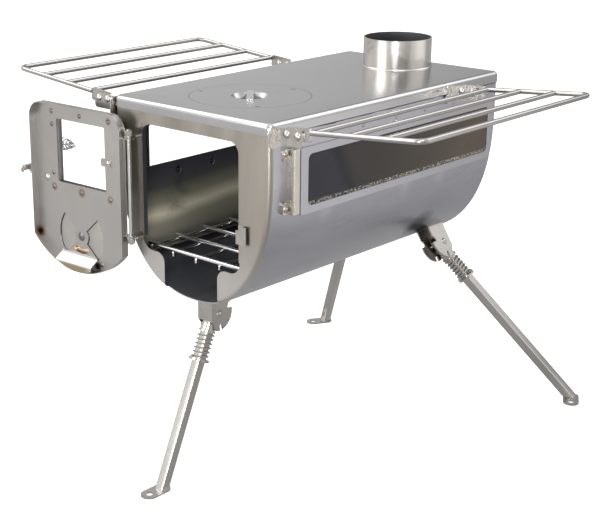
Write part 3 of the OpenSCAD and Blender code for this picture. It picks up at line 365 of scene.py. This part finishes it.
def steel(name, light, dark, rough, stretch, grain=0.10, patches=0.12, smears=0.1, depth=0.10,
          spots=(), patch_size=9.0, drawn=(1, 1, 1), inside=None, round_z=0.0,
          piece_colour_and_painted_light=None):
    """Stainless sheet or wire: light and dark are the ends of its tone, stretch the brushing's scale
    along X, Y and Z, drawn that of the handling marks. Faces that look towards inside are sooty.
    round_z is how far the shine is drawn out by brushing round the Z axis. The last argument adds
    what only this piece has to its colour: its own marks, and painted light and shade."""
    material, tree, shader = new_material(name)
    place = object_place(tree)
    mapping = add(tree, "ShaderNodeMapping", {"Scale": stretch}, Vector=place)
    brushed = use(tree, GRAIN, Vector=mapping.outputs[0])
    smudged = add(tree, "ShaderNodeMapping", {"Scale": drawn}, Vector=place)
    clouds = use(tree, CLOUDS, {"Size": patch_size}, Vector=smudged.outputs[0])

    tone = plus(tree, times(tree, brushed.outputs["Tone"], grain),
                times(tree, clouds.outputs["Patches"], patches * 3))
    colour = mix_colour(tree, plus(tree, tone, 0.5, clamp=True), dark, light)
    wear = times(tree, clouds.outputs["Smears"], smears)
    colour = mix_colour(tree, wear, colour, tuple(c * 0.72 for c in dark))
    colour = add_spots(tree, colour, spots)
    if piece_colour_and_painted_light:
        colour = piece_colour_and_painted_light(tree, colour)

    swing = plus(tree, times(tree, clouds.outputs["Patches"], patches * 0.5),
                 times(tree, brushed.outputs["Tone"], 0.04))
    roughness = plus(tree, swing, rough, clamp=True)
    if inside:
        sooty = inner_side(tree, inside)
        colour = mix_colour(tree, sooty, colour, SOOT)
        roughness = math_node(tree, "MAXIMUM", roughness, times(tree, sooty, SOOT_ROUGH))
    shader.inputs["Metallic"].default_value = 1.0
    if round_z:
        shader.inputs["Anisotropic"].default_value = round_z
        tangent = tree.nodes.new("ShaderNodeTangent")
        tangent.direction_type, tangent.axis = "RADIAL", "Z"
        tree.links.new(tangent.outputs[0], shader.inputs["Tangent"])
    bump = add(tree, "ShaderNodeBump", {"Strength": depth, "Distance": GRAIN_DEPTH},
               Height=brushed.outputs["Height"])
    link_pairs(tree, (colour, shader.inputs["Base Color"]), (roughness, shader.inputs["Roughness"]),
               (bump.outputs[0], shader.inputs["Normal"]))
    return material


def glass(name, tint, rough, cover, pane_colour=None):
    """Stove glass: see-through, with a faint film of soot. cover is its opacity, and pane_colour
    gives a pane colours of its own."""
    material, tree, shader = new_material(name)
    clouds = use(tree, CLOUDS, {"Size": 6.0}, Vector=object_place(tree))
    if pane_colour:
        colour = pane_colour(tree)
    else:
        film = plus(tree, times(tree, clouds.outputs["Patches"], 0.12), 0.5, clamp=True)
        colour = mix_colour(tree, film, tuple(c * 0.8 for c in tint), tint)
    alpha = plus(tree, times(tree, clouds.outputs["Patches"], cover * 0.3), cover, clamp=True)
    shader.inputs["Roughness"].default_value = rough
    shader.inputs["Specular IOR Level"].default_value = 0.25
    link_pairs(tree, (colour, shader.inputs["Base Color"]), (alpha, shader.inputs["Alpha"]))
    return material


# ---------------------------------------------------------------- the liners
BAND_LOW, BAND_HIGH = -190 * MM, -90 * MM     # the heights that the liner's colours run between
LINER_EDGE = -97 * MM                         # above this, an upward face is the cut edge
LINER_COLOURS = (
    (0.0, (0.14, 0.14, 0.125)), (0.20, (0.19, 0.185, 0.15)), (0.36, (0.32, 0.305, 0.235)),
    (0.46, (0.78, 0.74, 0.57)), (0.58, (0.30, 0.29, 0.21)), (0.76, (0.095, 0.095, 0.098)),
    (1.0, (0.060, 0.060, 0.078)))


def heat_blued_sheet():
    """The liners: blue-black above, an olive sheen band half way down, browner below, and a pale
    upper edge where the sheet was cut."""
    material, tree, shader = new_material("heat_blued_sheet")
    place = object_place(tree)
    at = axes(tree, place)
    clouds = use(tree, CLOUDS, {"Size": 7.0}, Vector=place)
    # The sheen band drops a little towards the door
    level = minus(tree, at["Z"], times(tree, at["Y"], 0.05))
    level = plus(tree, level, times(tree, clouds.outputs["Patches"], 4 * MM))
    span = add(tree, "ShaderNodeMapRange", {"From Min": BAND_LOW, "From Max": BAND_HIGH}, Value=level)
    ramp = tree.nodes.new("ShaderNodeValToRGB")
    tree.links.new(span.outputs["Result"], ramp.inputs["Fac"])
    stops = ramp.color_ramp.elements
    stops[0].color = (*LINER_COLOURS[0][1], 1)
    stops[1].color = (*LINER_COLOURS[-1][1], 1)
    for position, colour in LINER_COLOURS[1:-1]:
        stops.new(position).color = (*colour, 1)
    colour = mix_colour(tree, times(tree, clouds.outputs["Smears"], 0.4), ramp.outputs["Color"],
                        (0.02, 0.02, 0.024))
    faces_up = above(tree, axes(tree, true_normal(tree))["Z"], 0.97)
    cut_edge = times(tree, faces_up, above(tree, at["Z"], LINER_EDGE))
    colour = mix_colour(tree, cut_edge, colour, (0.62, 0.55, 0.42))
    tree.links.new(colour, shader.inputs["Base Color"])
    shader.inputs["Metallic"].default_value = 0.25
    shader.inputs["Roughness"].default_value = 0.5
    return material


# ---------------------------------------------------------------- marks, painted light and painted shade of single pieces, in mm
HINGE_X, HINGE_Y = -87.5, -231.0    # the door's hinge rod
FACE_Y = -230.4                     # the door's inner face when it is closed
OPEN = math.radians(-178)           # how far the door has swung at rest


def opened(x, z, y=FACE_Y):
    """Where a point of the closed door lies on the open door, in mm."""
    dx, dy = x - HINGE_X, y - HINGE_Y
    return (HINGE_X + dx * math.cos(OPEN) - dy * math.sin(OPEN),
            HINGE_Y + dx * math.sin(OPEN) + dy * math.cos(OPEN), z)


VENT_HUB = opened(-0.5, -182.0)
WING_EDGE = math.radians(42)        # how far the wings' straight edges turn from upright
WING_RINGS = (12.0, 39.0)           # radii of the wings' inner and outer edges
# Half the width of the painted shade lines along the damper wings' edges
PAINTED_EDGE_SHADE_HALF = 0.8
SLOT_TOP, SLOT_REACH = 14.5, 22.2   # the arc slot: its top under the hub, its outer radius
LIP_FOOT, LIP_SHADOW = 13.7, 3.2    # where the top plate's lip ends, and its shadow's height
DEFLECTOR_LIP = (215.0, 217.5)      # depths where the deflector's lip bends down
DEFLECTOR_ENDS = (20.0, 36.0)       # from its middle, where the brown fades


def pane_soot_and_painted_reflection(tree):
    """The right pane, partly soot and partly a painted reflection of the dim room: blue-black at
    its front, browner towards its back, and pale crumbs of the gasket along its lower edge. lean
    runs along the pane on a slant."""
    place = object_place(tree)
    at = axes(tree, place)
    lean = plus(tree, at["Y"], times(tree, at["Z"], 0.55))
    brown = mix_colour(tree, step_node(tree, at["Y"], -60 * MM, 190 * MM),
                       (0.028, 0.024, 0.021), (0.088, 0.070, 0.054))
    dark_edge = mix_colour(tree, step_node(tree, lean, -134 * MM, -112 * MM),
                           (0.010, 0.010, 0.016), brown)
    dark_front_soot_and_reflection = mix_colour(tree, step_node(tree, lean, -150 * MM, -132 * MM),
                      (0.021, 0.020, 0.031), dark_edge)
    crumbs = add(tree, "ShaderNodeTexNoise", {"Scale": 520.0, "Detail": 3.0},
                 Vector=place).outputs["Fac"]
    foot = below(tree, at["Z"], minus(tree, -95.5 * MM, times(tree, crumbs, 4 * MM)))
    pale = times(tree, foot, step_node(tree, crumbs, 0.47, 0.58))
    return mix_colour(tree, pale, dark_front_soot_and_reflection, (0.36, 0.34, 0.28))


def damper_painted_shade_and_reflection(tree, colour):
    """What shows of the damper through the door: painted shade as dark lines along the edges of its
    two wings, and a painted warm reflection in the arc slot."""
    local = vector_node(tree, "SUBTRACT", object_place(tree), metres(VENT_HUB)).outputs["Vector"]
    door_x = (-math.cos(OPEN), -math.sin(OPEN), 0)
    across = vector_node(tree, "DOT_PRODUCT", local, door_x).outputs["Value"]
    height = axes(tree, local)["Z"]
    u, v = math_node(tree, "ABSOLUTE", across), math_node(tree, "ABSOLUTE", height)
    # Painted shade along the wings' straight and curved edges
    beside = minus(tree, times(tree, u, math.sin(WING_EDGE)), times(tree, v, math.cos(WING_EDGE)))
    painted_edge_shade = below(tree, math_node(tree, "ABSOLUTE", beside), PAINTED_EDGE_SHADE_HALF * MM)
    reach = math_node(tree, "POWER", plus(tree, times(tree, u, u), times(tree, v, v)), 0.5)
    for radius in WING_RINGS:
        gap = math_node(tree, "ABSOLUTE", minus(tree, reach, radius * MM))
        painted_edge_shade = math_node(tree, "MAXIMUM", painted_edge_shade, below(tree, gap, PAINTED_EDGE_SHADE_HALF * MM))
    colour = mix_colour(tree, times(tree, painted_edge_shade, 0.85), colour, (0.05, 0.045, 0.045))
    in_slot = times(tree, below(tree, height, -SLOT_TOP * MM), below(tree, reach, SLOT_REACH * MM))
    # A painted warm reflection in the arc slot, brighter at its top
    low = step_node(tree, times(tree, height, -1.0), 16.5 * MM, 20.5 * MM)
    painted_slot_reflection = mix_colour(tree, low, (0.95, 0.70, 0.50), (0.20, 0.13, 0.08))
    return mix_colour(tree, in_slot, colour, painted_slot_reflection)


def lip_shadow(tree, colour):
    """A thin broken dark line on the shell just under the top plate's lip."""
    flat = add(tree, "ShaderNodeMapping", {"Scale": (30, 30, 0)}, Vector=object_place(tree))
    broken = add(tree, "ShaderNodeTexNoise", {"Scale": 1.0, "Detail": 3.0}, Vector=flat.outputs[0])
    foot = minus(tree, -LIP_FOOT * MM, times(tree, broken.outputs["Fac"], LIP_SHADOW * MM))
    line = above(tree, axes(tree, object_place(tree))["Z"], foot)
    return mix_colour(tree, times(tree, line, 0.9), colour, (0.03, 0.03, 0.035))


def front_painted_light_below_mouth(tree, colour):
    """The front plate is straw-coloured round the mouth; painted light makes it paler and cooler
    below it.
    """
    lower = step_node(tree, depth_under_top(tree), 120 * MM, 210 * MM)
    return mix_colour(tree, times(tree, lower, 0.75), colour, (0.60, 0.585, 0.57))


def brown_lip(tree, colour):
    """The deflector's turned-down lip is brown, least at its ends."""
    lip = step_node(tree, depth_under_top(tree), *metres(DEFLECTOR_LIP))
    off_middle = vector_node(tree, "DISTANCE", object_place(tree), metres(opened(2, -220)))
    ends = step_node(tree, off_middle.outputs["Value"], *metres(DEFLECTOR_ENDS))
    brown = mix_colour(tree, ends, (0.36, 0.29, 0.20), (0.60, 0.56, 0.48))
    return mix_colour(tree, lip, colour, brown)


# ---------------------------------------------------------------- finishes
build_camera()
build_studio()

FIREBOX, FLUE = (0, 0, -110), (0, 167, 18)    # points inside the two hollow bodies
ALONG_Y, ALONG_X, ALONG_Z = (900, 25, 900), (25, 900, 900), (900, 900, 25)
# Spots on the shell: the pale ones in a row under the window are painted highlight over spot welds,
# the two dark ones are painted shadow near a leg's bracket, and the black ones are round spots on the
# bottom near the front leg's bracket.
SHELL_MARKS_AND_PAINTED_LIGHT = [((116.9, y, -118), 16, "pale") for y in (-118, 34, 106)] + [
    ((86, 104, -188), 30, "dark"), ((70, 128, -203), 26, "dark"), ((-17, -190, -225.6), 7, "black"),
    ((10, -201, -226.2), 7, "black"), ((-15.6, -168, -225.8), 7, "black")]
LID_Y, LID_MARK_R = -118, 65
LID_MARKS = [((LID_MARK_R * math.cos(a), LID_Y + LID_MARK_R * math.sin(a), 0), 4, "dark")
             for a in map(math.radians, (80, 197, 320))]
DOOR_MARKS = [(opened(x, z), radius, kind) for x, z, radius, kind in (
    (75, -189, 9, "heat"), (-54, -126, 6, "heat"), (-4, -126, 7, "heat"), (46, -126, 6, "heat"),
    (-54, -31, 5, "heat"), (66, -222, 5, "heat"), (-28, -215, 7, "black"))]

shell_steel = steel("shell_satin_steel", (0.49, 0.49, 0.53), (0.34, 0.34, 0.375), 0.31, ALONG_Y,
                    patches=0.2, smears=0.25, spots=SHELL_MARKS_AND_PAINTED_LIGHT, drawn=(1, 0.5, 2.2), inside=FIREBOX,
                    piece_colour_and_painted_light=lip_shadow)
back_steel = steel("back_satin_steel", (0.46, 0.46, 0.50), (0.34, 0.34, 0.375), 0.34, ALONG_Y,
                   inside=FIREBOX)
frame_steel = steel("window_frame_steel", (0.47, 0.47, 0.51), (0.36, 0.36, 0.39), 0.32, ALONG_Y)
# Below its mouth the front plate is made paler and cooler by painted light.
front_steel = steel("front_satin_steel", (0.46, 0.43, 0.385), (0.30, 0.28, 0.25), 0.30, ALONG_Z,
                    patches=0.2, drawn=(2.5, 1, 0.35), inside=FIREBOX, piece_colour_and_painted_light=front_painted_light_below_mouth)
top_steel = steel("top_satin_steel", (0.50, 0.50, 0.505), (0.40, 0.40, 0.405), 0.24, ALONG_X,
                  grain=0.05, patches=0.06, depth=0.04, inside=FIREBOX)
lid_steel = steel("lid_satin_steel", (0.50, 0.50, 0.505), (0.40, 0.40, 0.405), 0.24, ALONG_X,
                  grain=0.05, patches=0.06, depth=0.04, spots=LID_MARKS)
collar_steel = steel("collar_polished_steel", (0.76, 0.74, 0.70), (0.46, 0.44, 0.41), 0.17, ALONG_Z,
                     round_z=0.7, inside=FLUE)
wire_steel = steel("wire_polished_steel", (0.76, 0.755, 0.75), (0.50, 0.495, 0.49), 0.17,
                   (60, 60, 60))
rack_steel = steel("rack_wire_steel", (0.44, 0.43, 0.42), (0.30, 0.29, 0.28), 0.22, (60, 60, 60))
bracket_steel = steel("bracket_bright_steel", (0.60, 0.58, 0.55), (0.32, 0.30, 0.28), 0.26,
                      (120, 120, 120), patches=0.15, smears=0.4, patch_size=45.0)
leg_bracket_steel = steel("leg_bracket_steel", (0.50, 0.48, 0.455), (0.32, 0.30, 0.285), 0.28,
                          (120, 120, 120), patches=0.1, smears=0.3, patch_size=30.0)
leg_steel = steel("leg_satin_steel", (0.58, 0.565, 0.54), (0.36, 0.35, 0.33), 0.22, (400, 400, 18))
door_steel = steel("door_pressed_steel", (0.49, 0.475, 0.46), (0.35, 0.335, 0.325), 0.36, ALONG_Z,
                   patches=0.12, spots=DOOR_MARKS)
# The damper carries painted shade along its wings' edges and a painted reflection in its arc slot.
damper_steel = steel("damper_steel", (0.55, 0.53, 0.50), (0.36, 0.34, 0.325), 0.34, ALONG_Z,
                     patches=0.2, patch_size=22.0, piece_colour_and_painted_light=damper_painted_shade_and_reflection)
shelf_steel = steel("deflector_bright_steel", (0.80, 0.79, 0.76), (0.62, 0.60, 0.57), 0.30, ALONG_X,
                    patches=0.06, piece_colour_and_painted_light=brown_lip)
channel_steel = steel("channel_warm_steel", (0.66, 0.62, 0.55), (0.38, 0.36, 0.32), 0.28, ALONG_Z,
                      smears=0.5, patch_size=30.0)
dark_steel = steel("heat_darkened_steel", (0.26, 0.25, 0.25), (0.08, 0.075, 0.08), 0.34,
                   (200, 200, 200))
# The right pane's colour is partly soot, partly a painted reflection of the dim room.
right_pane = glass("soot_and_reflection_side_glass", (0.10, 0.09, 0.075), 0.06, 0.86, pane_colour=pane_soot_and_painted_reflection)
left_pane = glass("clear_side_glass", (0.10, 0.09, 0.075), 0.06, 0.04)
door_pane = glass("clear_door_glass", (0.80, 0.82, 0.82), 0.05, 0.03)
liner_sheet = heat_blued_sheet()

FINISHES = {        # brackets, tabs, rivets, nuts and the latch's lever are bracket_steel
    shell_steel: ("body_shell",),
    back_steel: ("back_plate",),
    frame_steel: ("side_frame_right", "side_frame_left", "side_screws"),
    front_steel: ("front_plate",),
    top_steel: ("top_plate",),
    lid_steel: ("cook_lid",),
    collar_steel: ("flue_collar",),
    rack_steel: ("rack_right", "rack_left", "front_leg_spring", "right_leg_spring",
                 "left_leg_spring"),
    leg_bracket_steel: ("front_leg_bracket", "right_leg_bracket", "left_leg_bracket"),
    wire_steel: ("grate", "hinge_rod", "latch_coil_grip", "latch_handle_rod", "lid_strap"),
    leg_steel: ("front_leg_tube", "right_leg_tube", "left_leg_tube", "front_leg_foot",
                "right_leg_foot", "left_leg_foot"),
    door_steel: ("door_pan", "door_window_frame"),
    damper_steel: ("air_damper",),
    shelf_steel: ("air_deflector",),
    channel_steel: ("wall_channel",),
    dark_steel: ("door_screws", "damper_rivet", "lid_seat_ring"),
    right_pane: ("side_glass_right",),
    left_pane: ("side_glass_left",),
    door_pane: ("door_glass",),
    liner_sheet: ("liner_right", "liner_left"),
}
finish = {name: material for material, names in FINISHES.items() for name in names}
SHARP_ANGLE = math.radians(28)
SAME_POINT = 0.002 * MM


def smooth_group():
    """Joins a CAD mesh's loose triangles and shades it smooth, but sharp across edges that turn by
    more than SHARP_ANGLE. Only shading changes."""
    tree = bpy.data.node_groups.new("smooth_by_angle", "GeometryNodeTree")
    tree.interface.new_socket("Geometry", in_out="INPUT", socket_type="NodeSocketGeometry")
    tree.interface.new_socket("Geometry", in_out="OUTPUT", socket_type="NodeSocketGeometry")
    start, end = tree.nodes.new("NodeGroupInput"), tree.nodes.new("NodeGroupOutput")
    plain = add(tree, "GeometryNodeRemoveAttribute", {"Name": "custom_normal"})
    join = add(tree, "GeometryNodeMergeByDistance", {"Distance": SAME_POINT})
    faces, edges = (tree.nodes.new("GeometryNodeSetShadeSmooth") for _ in range(2))
    faces.domain, edges.domain = "FACE", "EDGE"
    angle = tree.nodes.new("GeometryNodeInputMeshEdgeAngle")
    small = tree.nodes.new("FunctionNodeCompare")
    small.data_type, small.operation = "FLOAT", "LESS_EQUAL"
    small.inputs["B"].default_value = SHARP_ANGLE
    link_pairs(tree, (start.outputs[0], plain.inputs["Geometry"]),
               (plain.outputs["Geometry"], join.inputs["Geometry"]),
               (join.outputs["Geometry"], faces.inputs["Geometry"]),
               (faces.outputs["Geometry"], edges.inputs["Geometry"]),
               (angle.outputs["Unsigned Angle"], small.inputs["A"]),
               (small.outputs["Result"], edges.inputs["Shade Smooth"]),
               (edges.outputs["Geometry"], end.inputs[0]))
    return tree


SMOOTH = smooth_group()
for name, part in nodes.items():
    part.data.materials.clear()
    part.data.materials.append(finish.get(name, bracket_steel))
    shade = part.modifiers.new("smooth", "NODES")
    shade.node_group = SMOOTH
